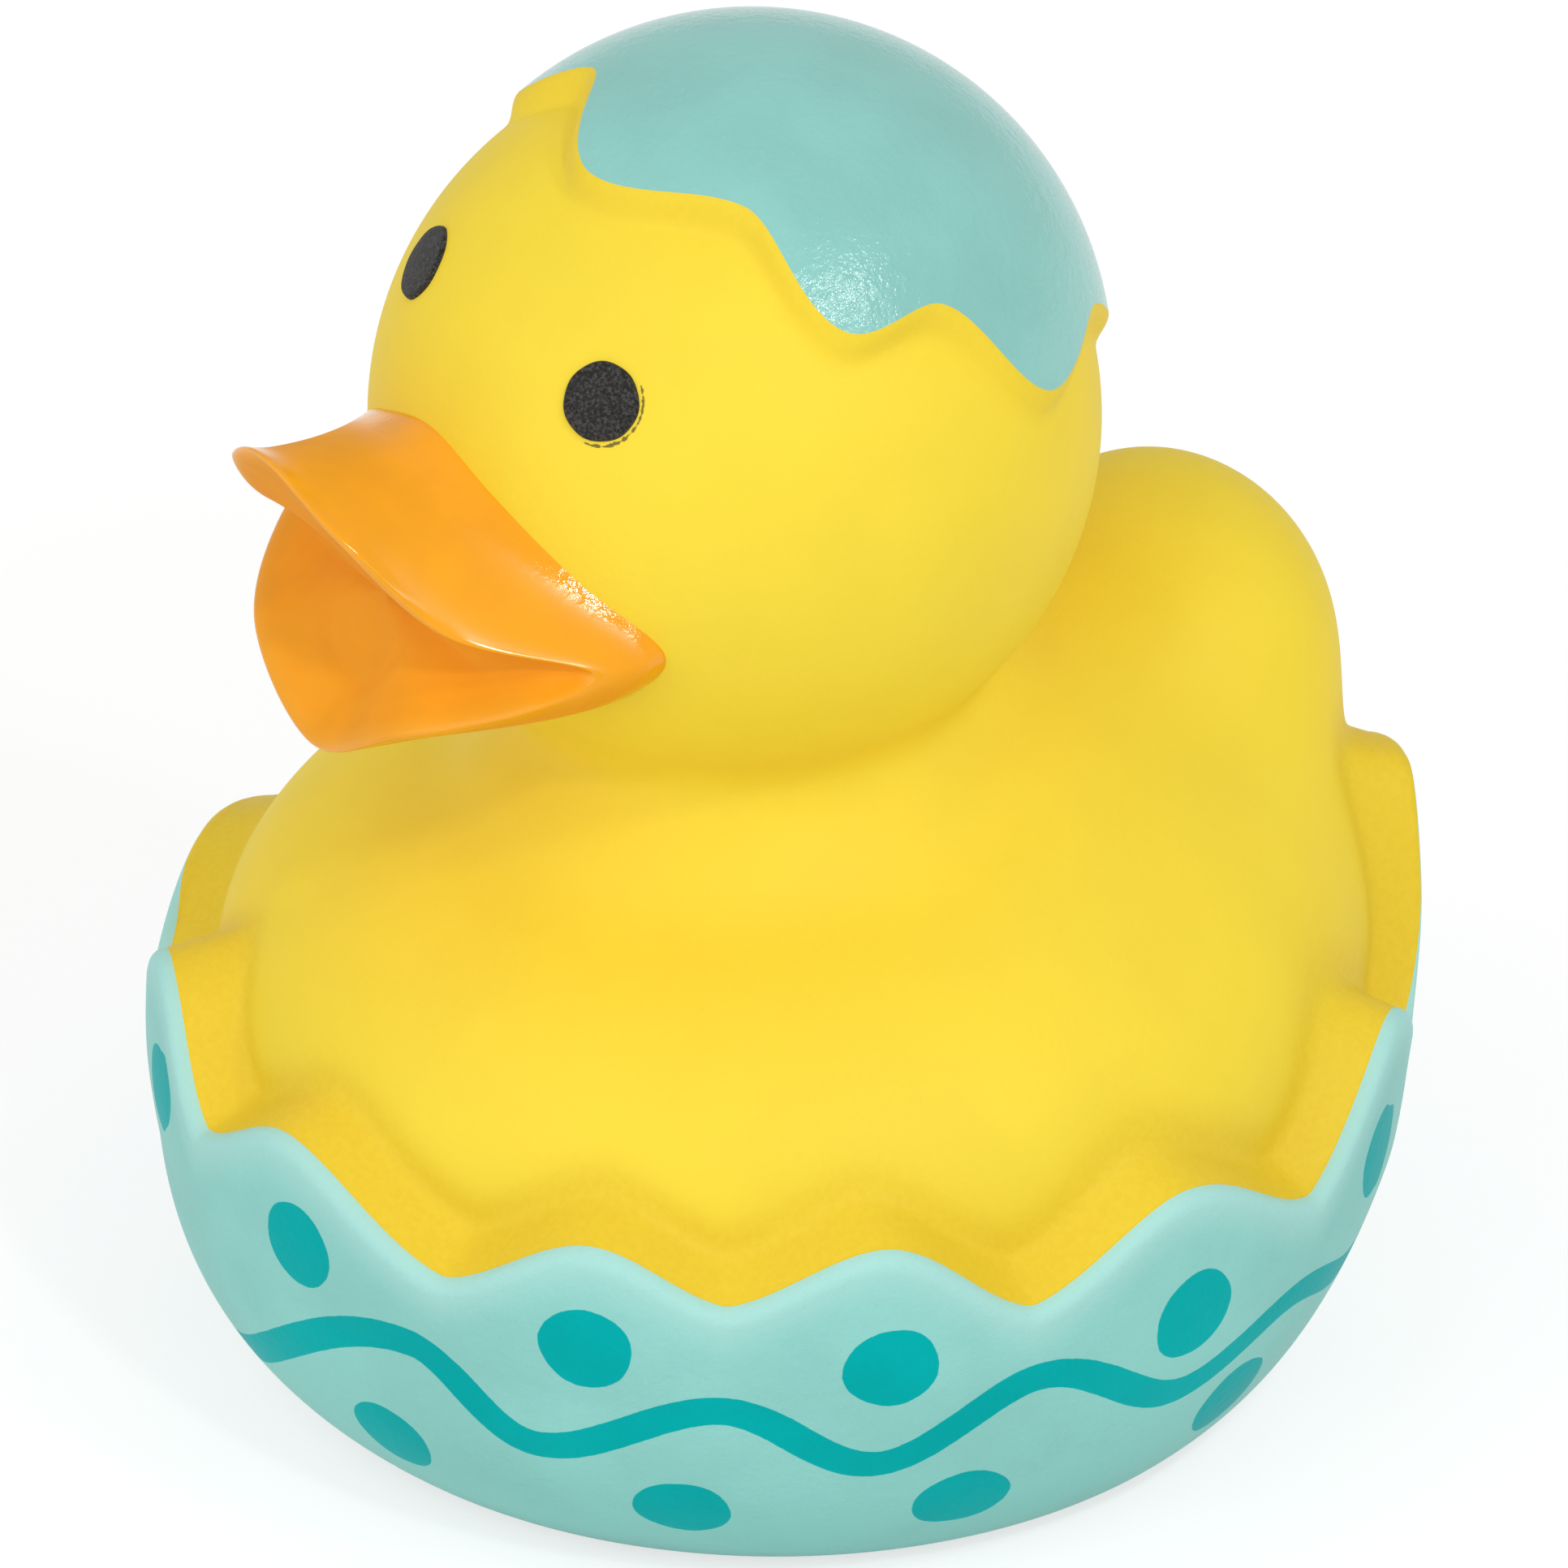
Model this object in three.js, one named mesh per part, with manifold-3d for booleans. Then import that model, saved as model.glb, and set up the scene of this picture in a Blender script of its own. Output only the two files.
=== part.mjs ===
// Rubber duck that hatches from an egg: one hollow soft-vinyl moulding.
// Sizes are in millimetres, +Z is up, the duck looks towards -Y and its left
// side is +X. The base stands on Z = 0, on the egg's axis.
import * as THREE from 'three';
import Module from 'manifold-3d';
import { mergeVertices } from 'three/addons/utils/BufferGeometryUtils.js';

// Egg shell: a squarish round profile, cut flat at the base
const RIM_LEVEL = 23.0;
const SHELL_RADIUS = 32.8;
const SHELL_BELLY_ABOVE_RIM_LEVEL = 5.0;
const SHELL_PROFILE_HEIGHT = 32.4;
const SHELL_PROFILE_POWER = 3.2;
const SHELL_LEAN = 0.5;
const SHELL_LEAN_HEIGHT = 6.5;
const SHELL_LEAN_BACK = 0.55;
const BASE_CORNER = 4.5;
const WALL = 2.0;
const AIR_HOLE_RADIUS = 1.5;

// Cracked edge of the shell: each tooth's [azimuth of its tip, tip height,
// azimuth of the notch after it, notch height], heights from RIM_LEVEL.
// Azimuth 0 is the duck's front and 90 its left side, in degrees.
const SHELL_TEETH = [
  [5.5, -0.7, 25.5, -4.7],
  [40, -0.9, 53, -3.6],
  [67, -0.4, 82, -5.1],
  [97.5, -1.0, 117.0, -6.0],
  [132, 0.1, 147.0, -4.8],
  [160.5, 6.6, 188, -0.5],
  [212, 3.0, 235, -4.0],
  [258, -0.6, 281, -5.0],
  [303.5, -0.8, 321, -4.2],
  [337, 1.4, 351, -4.4],
];
const EDGE_ROUND = 0.9;
const LEDGE_RISE = 1.2;
const LEDGE_FOLLOWS_TEETH = 0.93;
const NOTCH_SHARPNESS = 0.3;

// Body, rump, tail and neck: egg-shaped masses that flow into one another
const BODY = { centre: [0, 0.5, 21.05], radii: [29.25, 29.25, 14.75] };
const RUMP = { centre: [0, 10.8, 24.8], radii: [20.3, 20.6, 14.0] };
const TAIL = { centre: [0, 24.0, 35.5], radii: [9.7, 7.2, 7.4] };
const TAIL_BLEND = 7.0;
const RUMP_BLEND = 5.0;
const NECK_BLEND = 5.0;
const HEAD_BLEND = 4.0;

// Head
const HEAD_RADIUS = 18.73;
const HEAD_BACK = -2.6;
const HEAD_OVER_BODY = 18.64;
const HEAD_HEIGHT = BODY.centre[2] + BODY.radii[2] + HEAD_OVER_BODY;
const NECK_BELOW_HEAD = 19.94;
const NECK = {
  centre: [0, HEAD_BACK, HEAD_HEIGHT - NECK_BELOW_HEAD],
  radii: [12.5, 12.5, 7.0],
};

// Cap: a second round shell, set back and up on the head
const CAP_RADIUS = 18.4;
const CAP_OFFSET = 2.64;
const CAP_TILT = 23.4;
const CAP_LIP = 5.2;
const CAP_EDGE_ROUND = 1.2;
// Its teeth: [azimuth of the notch, angle from the cap's pole, azimuth of the
// next tip, angle from the cap's pole], in degrees
const CAP_TEETH = [
  [5, 51.8, 36.7, 44.9],
  [64, 57.4, 81, 49.8],
  [109, 61.0, 131, 50.4],
  [156, 56.5, 181, 48.0],
  [207, 58.0, 232, 47.5],
  [259, 56.5, 284, 46.5],
  [309, 55.5, 335.5, 40.6],
];

// Eyes: low round bosses
const EYE_RADIUS = 2.05;
const EYE_HEIGHT = 0.25;
const EYE_PLACES = [[9.1, -13.7, 9.3], [-8.2, -14.0, 9.6]];

// Bill: half loops from the middle of the top, round the mouth's corner, to
// the middle of the bottom, as offsets from the head's centre
const BILL_BASE = [
  [0, -18.1, 4.7], [5.2, -17.7, 3.1], [10.2, -15.6, -0.1], [13.4, -12.5, -4.0],
  [10.6, -13.2, -7.5], [5.5, -14.8, -9.9], [0, -15.0, -11.2],
];
const BILL_MIDDLE = [
  [0, -22.8, 4.3], [5.2, -21.7, 2.5], [9.7, -18.6, -1.7], [13.5, -14.2, -4.2],
  [12.2, -16.6, -6.3], [7.0, -19.8, -9.1], [0, -20.8, -11.6],
];
const BILL_LIP = [
  [0, -28.6, 4.9], [5.3, -27.1, 2.5], [9.1, -22.9, -2.5], [13.3, -15.6, -4.4],
  [12.0, -19.9, -5.6], [7.0, -24.7, -8.2], [0, -25.6, -11.7],
];
const BILL_MOUTH = [0, -20.6, -4.4];
const BILL_ROOT_SINK = 1.2;
const BILL_LIP_THICKNESS = 1.1;

// Fineness of the surfaces
const COLUMNS = 90;
const HOLLOW_COLUMNS = 40;
const BILL_COLUMNS = 52;

const wasm = await Module();
wasm.setup();

const rad = THREE.MathUtils.degToRad;
const mix = (a, b, t) => a + (b - a) * t;
const ease = (t) => t * t * (3 - 2 * t);

// Heading of an azimuth in the XY plane
function heading(azimuth) {
  return [Math.sin(rad(azimuth)), -Math.cos(rad(azimuth))];
}

// Nearness of a point to an ellipsoid: 0 on it, negative inside, about mm
function ellipsoid(p, shape) {
  let a = 0;
  let b = 0;
  for (let i = 0; i < 3; i += 1) {
    const d = p[i] - shape.centre[i];
    a += (d / shape.radii[i]) ** 2;
    b += (d / shape.radii[i] ** 2) ** 2;
  }
  const k = Math.sqrt(a);
  return (k * (k - 1)) / Math.sqrt(b + 1e-12);
}

// Union of two masses with a fillet
function blend(a, b, size) {
  const h = Math.min(Math.max(0.5 + (0.5 * (b - a)) / size, 0), 1);
  return mix(b, a, h) - size * h * (1 - h);
}

const HEAD = { centre: [0, HEAD_BACK, HEAD_HEIGHT], radii: Array(3).fill(HEAD_RADIUS) };

function skin(p) {
  const rump = blend(ellipsoid(p, RUMP), ellipsoid(p, TAIL), TAIL_BLEND);
  const body = blend(ellipsoid(p, BODY), rump, RUMP_BLEND);
  const neck = blend(body, ellipsoid(p, NECK), NECK_BLEND);
  return blend(neck, ellipsoid(p, HEAD), HEAD_BLEND);
}

// First point along a ray where the skin, moved in by inset, is crossed
function meetSkin(origin, direction, inset, near, far) {
  const at = (t) => origin.map((v, i) => v + direction[i] * t);
  const value = (t) => skin(at(t)) + inset;
  let low = near;
  let high = near;
  while (value(high) < 0 && high < far) {
    low = high;
    high += 0.5;
  }
  for (let i = 0; i < 26; i += 1) {
    const middle = (low + high) / 2;
    if (value(middle) < 0) {
      low = middle;
    } else {
      high = middle;
    }
  }
  return at(high);
}

// Height of a row of teeth at an azimuth, eased between tips and notches
function teethAt(teeth, azimuth, sharpness = 0) {
  const keys = teeth.flatMap(([a, va, b, vb]) => [[a, va], [b, vb]]);
  keys.push([keys[0][0] + 360, keys[0][1]]);
  let angle = azimuth % 360;
  if (angle < keys[0][0]) {
    angle += 360;
  }
  const next = keys.findIndex((key) => key[0] >= angle);
  if (next < 1) {
    return keys[0][1];
  }
  const [a, va] = keys[next - 1];
  const [b, vb] = keys[next];
  const share = (angle - a) / (b - a);
  const fromTip = next % 2 === 1;
  const pointed = fromTip ? 1 - Math.cos(share * Math.PI / 2) : Math.sin(share * Math.PI / 2);
  return mix(va, vb, mix(ease(share), pointed, sharpness));
}

const shellTeeth = (azimuth) => teethAt(SHELL_TEETH, azimuth, NOTCH_SHARPNESS);
const rimHeight = (azimuth) => RIM_LEVEL + shellTeeth(azimuth);
const ledgeHeight = (azimuth) =>
  RIM_LEVEL + LEDGE_RISE + LEDGE_FOLLOWS_TEETH * shellTeeth(azimuth);

// Radius of the egg shell's outside at a height
function shellRadius(z) {
  const k = Math.abs(z - RIM_LEVEL - SHELL_BELLY_ABOVE_RIM_LEVEL) / SHELL_PROFILE_HEIGHT;
  return SHELL_RADIUS * (1 - k ** SHELL_PROFILE_POWER) ** (1 / SHELL_PROFILE_POWER);
}

// The base's rounded corner: it turns from flat until it meets the profile
function turnAtJoin() {
  let low = 0;
  let high = Math.PI / 2;
  for (let i = 0; i < 40; i += 1) {
    const turn = (low + high) / 2;
    const z = BASE_CORNER * (1 - Math.cos(turn));
    const slope = Math.atan2(0.02, shellRadius(z + 0.01) - shellRadius(z - 0.01));
    if (turn < slope) {
      low = turn;
    } else {
      high = turn;
    }
  }
  return low;
}
const cornerTurn = turnAtJoin();
const cornerTop = BASE_CORNER * (1 - Math.cos(cornerTurn));
const baseFlat = shellRadius(cornerTop) - BASE_CORNER * Math.sin(cornerTurn);

function around(azimuth, radius, z, back = 0) {
  const [x, y] = heading(azimuth);
  return [x * radius, y * radius + back, z];
}

// Point of the shell: it leans a little forward low down and back at the rim
function onShell(azimuth, radius, z) {
  const share = Math.min(1, Math.max(0, z / SHELL_LEAN_HEIGHT / 2));
  const high = Math.min(1, Math.max(0, (z - RIM_LEVEL + 7) / 8));
  const lean = SHELL_LEAN_BACK * ease(high) - SHELL_LEAN * Math.sin(Math.PI * share);
  return around(azimuth, radius, z, lean);
}

// Closed mesh from rings of equal length; one-point rings are poles
function closedMesh(rings) {
  const points = [];
  const starts = rings.map((ring) => {
    const start = points.length;
    points.push(...ring);
    return start;
  });
  const faces = [];
  for (let r = 0; r + 1 < rings.length; r += 1) {
    const lower = rings[r];
    const upper = rings[r + 1];
    const count = Math.max(lower.length, upper.length);
    for (let c = 0; c < count; c += 1) {
      const n = (c + 1) % count;
      const a = starts[r] + (lower.length > 1 ? c : 0);
      const b = starts[r] + (lower.length > 1 ? n : 0);
      const d = starts[r + 1] + (upper.length > 1 ? c : 0);
      const e = starts[r + 1] + (upper.length > 1 ? n : 0);
      if (a !== b) {
        faces.push(a, b, e);
      }
      if (d !== e) {
        faces.push(a, e, d);
      }
    }
  }
  const geometry = new THREE.BufferGeometry();
  geometry.setAttribute('position', new THREE.Float32BufferAttribute(points.flat(), 3));
  geometry.setIndex(faces);
  return geometry;
}

function solid(geometry) {
  const plain = geometry.clone();
  plain.deleteAttribute('normal');
  plain.deleteAttribute('uv');
  const merged = mergeVertices(plain, 1e-5);
  return new wasm.Manifold(new wasm.Mesh({
    numProp: 3,
    vertProperties: Float32Array.from(merged.attributes.position.array),
    triVerts: Uint32Array.from(merged.index.array),
  }));
}

// One ring of points: place(azimuth) for each column
function ring(columns, place) {
  return Array.from({ length: columns }, (_, i) => place((360 * i) / columns));
}

// Point inside each half plane from which its body profile is seen whole
function bodyEye(azimuth) {
  const rear = Math.max(0, -Math.cos(rad(azimuth)));
  const weight = ease(Math.min(1, Math.max(0, (rear - 0.5) / 0.5)));
  return [mix(10, 20.5, weight), mix(RIM_LEVEL + 1, RIM_LEVEL + 8.5, weight)];
}

// Where the body's rows end: above the shoulder, just outside the neck
const SHOULDER_RADIUS = 14.0;
const HEAD_START = HEAD_HEIGHT - 0.7 * HEAD_RADIUS;

function shoulder(azimuth, inset) {
  const start = around(azimuth, SHOULDER_RADIUS - inset, RIM_LEVEL + 4, HEAD_BACK);
  return meetSkin(start, [0, 0, 1], inset, 0, 15);
}

function bodyRow(azimuth, inset, from, share) {
  const [eyeOut, eyeUp] = bodyEye(azimuth);
  const [hx, hy] = heading(azimuth);
  const end = shoulder(azimuth, inset);
  if (share === 1) {
    return end;
  }
  const endOut = end[0] * hx + end[1] * hy;
  const fromOut = from[0] * hx + from[1] * hy;
  const first = Math.atan2(from[2] - eyeUp, fromOut - eyeOut);
  const last = Math.atan2(end[2] - eyeUp, endOut - eyeOut);
  const angle = mix(first, last, share);
  const side = end[0] * hy - end[1] * hx;
  const drift = side * share;
  const origin = [hx * eyeOut + hy * drift, hy * eyeOut - hx * drift, eyeUp];
  const out = Math.cos(angle);
  return meetSkin(origin, [hx * out, hy * out, Math.sin(angle)], inset, 0.5, 40);
}

function neckRow(azimuth, inset, share) {
  const low = shoulder(azimuth, inset)[2];
  const z = mix(low, HEAD_START, share);
  const [hx, hy] = heading(azimuth);
  return meetSkin([0, HEAD_BACK, z], [hx, hy, 0], inset, 2, 30);
}

// Direction from the head's centre: angle from an axis that leans back
function headRay(azimuth, angle, lean) {
  const [hx, hy] = heading(azimuth);
  const s = Math.sin(rad(angle));
  const c = Math.cos(rad(angle));
  const y = hy * s;
  const t = rad(lean);
  return [hx * s, y * Math.cos(t) + c * Math.sin(t), c * Math.cos(t) - y * Math.sin(t)];
}

function onHead(azimuth, angle, lean, inset) {
  return meetSkin(HEAD.centre, headRay(azimuth, angle, lean), inset, 10, 30);
}

// Cap's outside, from the head's centre
function onCap(azimuth, angle, inset) {
  const s = Math.sin(rad(angle));
  const c = Math.cos(rad(angle));
  const reach = CAP_OFFSET * c + Math.sqrt(CAP_RADIUS ** 2 - (CAP_OFFSET * s) ** 2) - inset;
  return headRay(azimuth, angle, CAP_TILT).map((v, i) => HEAD.centre[i] + v * reach);
}

const headStartAngle = 180 - (180 / Math.PI)
  * Math.acos((HEAD_HEIGHT - HEAD_START) / HEAD_RADIUS);

function outsideRings() {
  const rings = [[[0, 0, 0]]];
  [0, 0.33, 0.67].forEach((t) => {
    const radius = baseFlat + BASE_CORNER * Math.sin(cornerTurn * t);
    const z = BASE_CORNER * (1 - Math.cos(cornerTurn * t));
    rings.push(ring(COLUMNS, (a) => onShell(a, radius, z)));
  });
  const shellRows = 7;
  for (let i = 0; i <= shellRows; i += 1) {
    rings.push(ring(COLUMNS, (a) => {
      const z = mix(cornerTop, rimHeight(a) - EDGE_ROUND, i / shellRows);
      return onShell(a, shellRadius(z), z);
    }));
  }
  [0.4, 0.8].forEach((t) => {
    rings.push(ring(COLUMNS, (a) => {
      const turn = t * Math.PI * 0.5;
      const z = rimHeight(a) - EDGE_ROUND * (1 - Math.sin(turn));
      return onShell(a, shellRadius(z) - EDGE_ROUND * (1 - Math.cos(turn)), z);
    }));
  });
  const crease = (a) => {
    const [hx, hy] = heading(a);
    return meetSkin([0, 0, ledgeHeight(a)], [hx, hy, 0], 0, 20, 40);
  };
  rings.push(ring(COLUMNS, crease));
  const bodyRows = 12;
  for (let i = 1; i <= bodyRows; i += 1) {
    rings.push(ring(COLUMNS, (a) => bodyRow(a, 0, crease(a), i / bodyRows)));
  }
  [0.35, 0.7].forEach((t) => rings.push(ring(COLUMNS, (a) => neckRow(a, 0, t))));
  const headRows = 9;
  for (let i = 0; i <= headRows; i += 1) {
    const t = i / headRows;
    rings.push(ring(COLUMNS, (a) => {
      const foot = teethAt(CAP_TEETH, a) + CAP_LIP;
      return onHead(a, mix(headStartAngle, foot, t), CAP_TILT * t, 0);
    }));
  }
  rings.push(ring(COLUMNS, (a) => onCap(a, teethAt(CAP_TEETH, a) + CAP_EDGE_ROUND, 0.35)));
  rings.push(ring(COLUMNS, (a) => onCap(a, teethAt(CAP_TEETH, a), 0)));
  const capRows = 5;
  for (let i = 1; i < capRows; i += 1) {
    rings.push(ring(COLUMNS, (a) => {
      return onCap(a, teethAt(CAP_TEETH, a) * (1 - i / capRows), 0);
    }));
  }
  rings.push([onCap(0, 0, 0)]);
  return rings;
}

// The hollow inside, one wall thickness in from the outside
function insideRings() {
  const rings = [[[0, 0, WALL]]];
  rings.push(ring(HOLLOW_COLUMNS, (a) => around(a, baseFlat, WALL)));
  const lowest = (a) => Math.min(...[-6, -3, 0, 3, 6].map((d) => rimHeight(a + d + 360)));
  const shellRows = 4;
  for (let i = 0; i <= shellRows; i += 1) {
    rings.push(ring(HOLLOW_COLUMNS, (a) => {
      const z = mix(cornerTop + WALL, lowest(a) - WALL * 1.3, i / shellRows);
      return onShell(a, shellRadius(z) - WALL, z);
    }));
  }
  const crease = (a) => {
    const [hx, hy] = heading(a);
    return meetSkin([0, 0, lowest(a)], [hx, hy, 0], WALL, 15, 40);
  };
  rings.push(ring(HOLLOW_COLUMNS, crease));
  const bodyRows = 7;
  for (let i = 1; i <= bodyRows; i += 1) {
    rings.push(ring(HOLLOW_COLUMNS, (a) => bodyRow(a, WALL, crease(a), i / bodyRows)));
  }
  rings.push(ring(HOLLOW_COLUMNS, (a) => neckRow(a, WALL, 0.5)));
  const headRows = 7;
  for (let i = 0; i < headRows; i += 1) {
    const t = i / headRows;
    rings.push(ring(HOLLOW_COLUMNS, (a) => {
      return onHead(a, mix(headStartAngle, 0, t), CAP_TILT * t, WALL);
    }));
  }
  rings.push([onHead(0, 0, CAP_TILT, WALL)]);
  return rings;
}

// Closed loop through a half loop of points and its mirror image
function loop(half) {
  const right = half.map((p) => new THREE.Vector3(...p));
  const left = half.slice(1, -1).reverse().map((p) => new THREE.Vector3(-p[0], p[1], p[2]));
  const curve = new THREE.CatmullRomCurve3([...right, ...left], true, 'centripetal');
  return (t) => curve.getPoint(t);
}

// The bill: loops from its root in the head, over the lip, into the mouth
function billRings() {
  const base = loop(BILL_BASE);
  const middle = loop(BILL_MIDDLE);
  const lip = loop(BILL_LIP);
  const mouth = new THREE.Vector3(...BILL_MOUTH);
  const centre = new THREE.Vector3(...HEAD.centre);
  const at = (place) => Array.from({ length: BILL_COLUMNS }, (_, i) => {
    const point = place(1 - i / BILL_COLUMNS).add(centre);
    return [point.x, point.y, point.z];
  });
  const outer = (t, s) => {
    const a = base(t).multiplyScalar((1 - s) ** 2);
    const peak = middle(t).multiplyScalar(2).addScaledVector(base(t).add(lip(t)), -0.5);
    const b = peak.multiplyScalar(2 * s * (1 - s));
    return a.add(b).addScaledVector(lip(t), s * s);
  };
  const inner = (t, s) => {
    const rim = lip(t);
    const towards = mouth.clone().sub(rim);
    const length = towards.length();
    const start = BILL_LIP_THICKNESS / length;
    const point = rim.addScaledVector(towards, mix(start, 1, s));
    point.y += 1.2 * Math.sin(Math.PI * s) * (1 - s);
    return point;
  };
  const root = base(0).lerp(base(0.5), 0.5).multiplyScalar(0.86).add(centre);
  const rings = [[[0, root.y, root.z]]];
  rings.push(at((t) => base(t).multiplyScalar(1 - BILL_ROOT_SINK / HEAD_RADIUS)));
  [0.0, 0.25, 0.5, 0.75, 0.94].forEach((s) => rings.push(at((t) => outer(t, s))));
  rings.push(at((t) => outer(t, 1).lerp(inner(t, 0), 0.3)));
  [0.0, 0.25, 0.55, 0.8].forEach((s) => rings.push(at((t) => inner(t, s))));
  const end = mouth.clone().add(centre);
  rings.push([[end.x, end.y, end.z]]);
  return rings;
}

// An eye: a short round boss that stands a little out of the head
function eye(offset) {
  const geometry = new THREE.CylinderGeometry(EYE_RADIUS * 0.94, EYE_RADIUS, 2, 28, 1);
  const place = new THREE.Vector3(...offset).normalize();
  const turn = new THREE.Quaternion().setFromUnitVectors(new THREE.Vector3(0, 1, 0), place);
  const reach = Math.sqrt(HEAD_RADIUS ** 2 - EYE_RADIUS ** 2) + EYE_HEIGHT - 1;
  geometry.applyQuaternion(turn);
  geometry.translate(...place.multiplyScalar(reach).add(new THREE.Vector3(...HEAD.centre)));
  return geometry;
}

function airHole() {
  const geometry = new THREE.CylinderGeometry(AIR_HOLE_RADIUS, AIR_HOLE_RADIUS, WALL * 3, 24);
  geometry.rotateX(Math.PI / 2);
  return geometry;
}

let duck = solid(closedMesh(outsideRings()));
duck = duck.add(solid(closedMesh(billRings())));
duck = duck.add(solid(eye(EYE_PLACES[0]))).add(solid(eye(EYE_PLACES[1])));
duck = duck.subtract(solid(closedMesh(insideRings())));
duck = duck.subtract(solid(airHole()));

duck = duck.asOriginal().simplify(0.004);
const mesh = duck.getMesh();
const geometry = new THREE.BufferGeometry();
geometry.setAttribute('position', new THREE.Float32BufferAttribute(mesh.vertProperties, 3));
geometry.setIndex(Array.from(mesh.triVerts));
geometry.computeVertexNormals();

const vinyl = new THREE.MeshStandardMaterial({ color: 0xf2d33c, roughness: 0.45, metalness: 0 });
const node = new THREE.Mesh(geometry, vinyl);
node.name = 'duck';

const group = new THREE.Group();
group.add(node);
export default group;
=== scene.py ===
"""Looks for a rubber duck that hatches from an Easter egg.

The duck is one hollow soft-vinyl moulding: a yellow body and head, an egg shell and a cap
painted mint with teal dots and a wavy line, an orange bill and black eyes.
Lengths in the tables are in millimetres, +Z is up and the duck looks towards -Y.
Azimuth 0 is the duck's front and 90 its left side, in degrees.
"""

import math

import bpy
import numpy as np
from bpy.props import FloatProperty, FloatVectorProperty, PointerProperty
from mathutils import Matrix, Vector


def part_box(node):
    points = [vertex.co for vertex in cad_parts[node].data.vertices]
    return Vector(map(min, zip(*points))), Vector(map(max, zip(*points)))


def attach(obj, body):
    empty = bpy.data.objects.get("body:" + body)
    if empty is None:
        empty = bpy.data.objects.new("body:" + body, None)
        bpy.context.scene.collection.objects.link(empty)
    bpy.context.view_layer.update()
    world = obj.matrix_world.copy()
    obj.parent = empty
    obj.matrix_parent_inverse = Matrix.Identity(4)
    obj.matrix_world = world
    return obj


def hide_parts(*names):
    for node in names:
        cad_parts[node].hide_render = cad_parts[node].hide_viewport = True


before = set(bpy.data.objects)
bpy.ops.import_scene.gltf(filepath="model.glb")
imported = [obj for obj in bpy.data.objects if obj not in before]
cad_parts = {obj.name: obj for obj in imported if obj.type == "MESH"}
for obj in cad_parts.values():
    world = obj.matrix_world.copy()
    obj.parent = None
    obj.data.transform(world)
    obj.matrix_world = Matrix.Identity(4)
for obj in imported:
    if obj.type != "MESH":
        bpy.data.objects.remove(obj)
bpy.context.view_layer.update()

bl_info = {
    "name": "Rubber duck in an egg",
    "version": (1, 0, 0),
    "blender": (4, 5, 0),
    "location": "3D View > Sidebar > Rubber duck",
    "description": "Builds a painted vinyl duck around its packed model",
    "category": "Object",
}

MM = 0.001
DUCK_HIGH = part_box("duck")[1]

# Egg shell
RIM_LEVEL = 23.0
SHELL_RADIUS = 32.8
SHELL_BELLY = RIM_LEVEL + 5.0
SHELL_PROFILE_HEIGHT = 32.4
SHELL_PROFILE_POWER = 3.2
SHELL_LEAN = 0.5
SHELL_LEAN_HEIGHT = 6.5
SHELL_LEAN_BACK = 0.55
BASE_CORNER = 4.5
WALL = 2.0
AIR_HOLE_RADIUS = 1.5
# Each tooth: azimuth and height of its tip, azimuth and height of the notch after it
SHELL_TEETH = [
    [5.5, -0.7, 25.5, -4.7],
    [40, -0.9, 53, -3.6],
    [67, -0.4, 82, -5.1],
    [97.5, -1.0, 117.0, -6.0],
    [132, 0.1, 147.0, -4.8],
    [160.5, 6.6, 188, -0.5],
    [212, 3.0, 235, -4.0],
    [258, -0.6, 281, -5.0],
    [303.5, -0.8, 321, -4.2],
    [337, 1.4, 351, -4.4],
]
NOTCH_SHARPNESS = 0.3
EDGE_ROUND = 0.9
# Share of the rounded edge that is painted, on the far side and on the near side
PAINTED_TURN = (0.2, 0.95)
NEAR_SIDE = 50
LEDGE_RISE = 1.2
LEDGE_FOLLOWS_TEETH = 0.93
# The body's hidden underside, inside the shell: radius, depth below the edge, height of its pole
SKIRT_RADIUS = 27.0
SKIRT_DROP = 4.0
SKIRT_POLE = 14.0

# Body, rump, tail and neck: centre and radii of the masses that flow together
BODY = ([0, 0.5, 21.05], [29.25, 29.25, 14.75])
RUMP = ([0, 10.8, 24.8], [20.3, 20.6, 14.0])
TAIL = ([0, 24.0, 35.5], [9.7, 7.2, 7.4])
TAIL_BLEND = 7.0
RUMP_BLEND = 5.0
NECK_BLEND = 5.0
HEAD_BLEND = 4.0
SHOULDER_RADIUS = 14.0

# Head and cap
HEAD_RADIUS = 18.73
HEAD_BACK = -2.6
CAP_RADIUS = 18.4
CAP_OFFSET = 2.64
CAP_TILT = 23.4
# Yellow lip round the cap: degrees from head to cap, and where it starts to turn over
CAP_LIP = 5.2
CAP_OVERHANG = 2.2
CAP_INSET = 0.05
# How far out the head's hidden top lies under the cap, as a share
UNDER_CAP = 0.8
NECK_DROP = 19.94
HEAD_HEIGHT = DUCK_HIGH.z / MM - CAP_RADIUS - CAP_OFFSET * math.cos(math.radians(CAP_TILT))
HEAD_CENTRE = np.array([0, HEAD_BACK, HEAD_HEIGHT])
NECK = ([0, HEAD_BACK, HEAD_HEIGHT - NECK_DROP], [12.5, 12.5, 7.0])
HEAD_START = HEAD_HEIGHT - 0.7 * HEAD_RADIUS
# Each tooth of the cap: azimuth and angle from the cap's pole, low and high
CAP_TEETH = [
    [5, 51.8, 36.7, 44.9],
    [64, 57.4, 81, 49.8],
    [109, 61.0, 131, 50.4],
    [156, 56.5, 181, 48.0],
    [207, 58.0, 232, 47.5],
    [259, 56.5, 284, 46.5],
    [309, 55.5, 335.5, 40.6],
]

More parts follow.
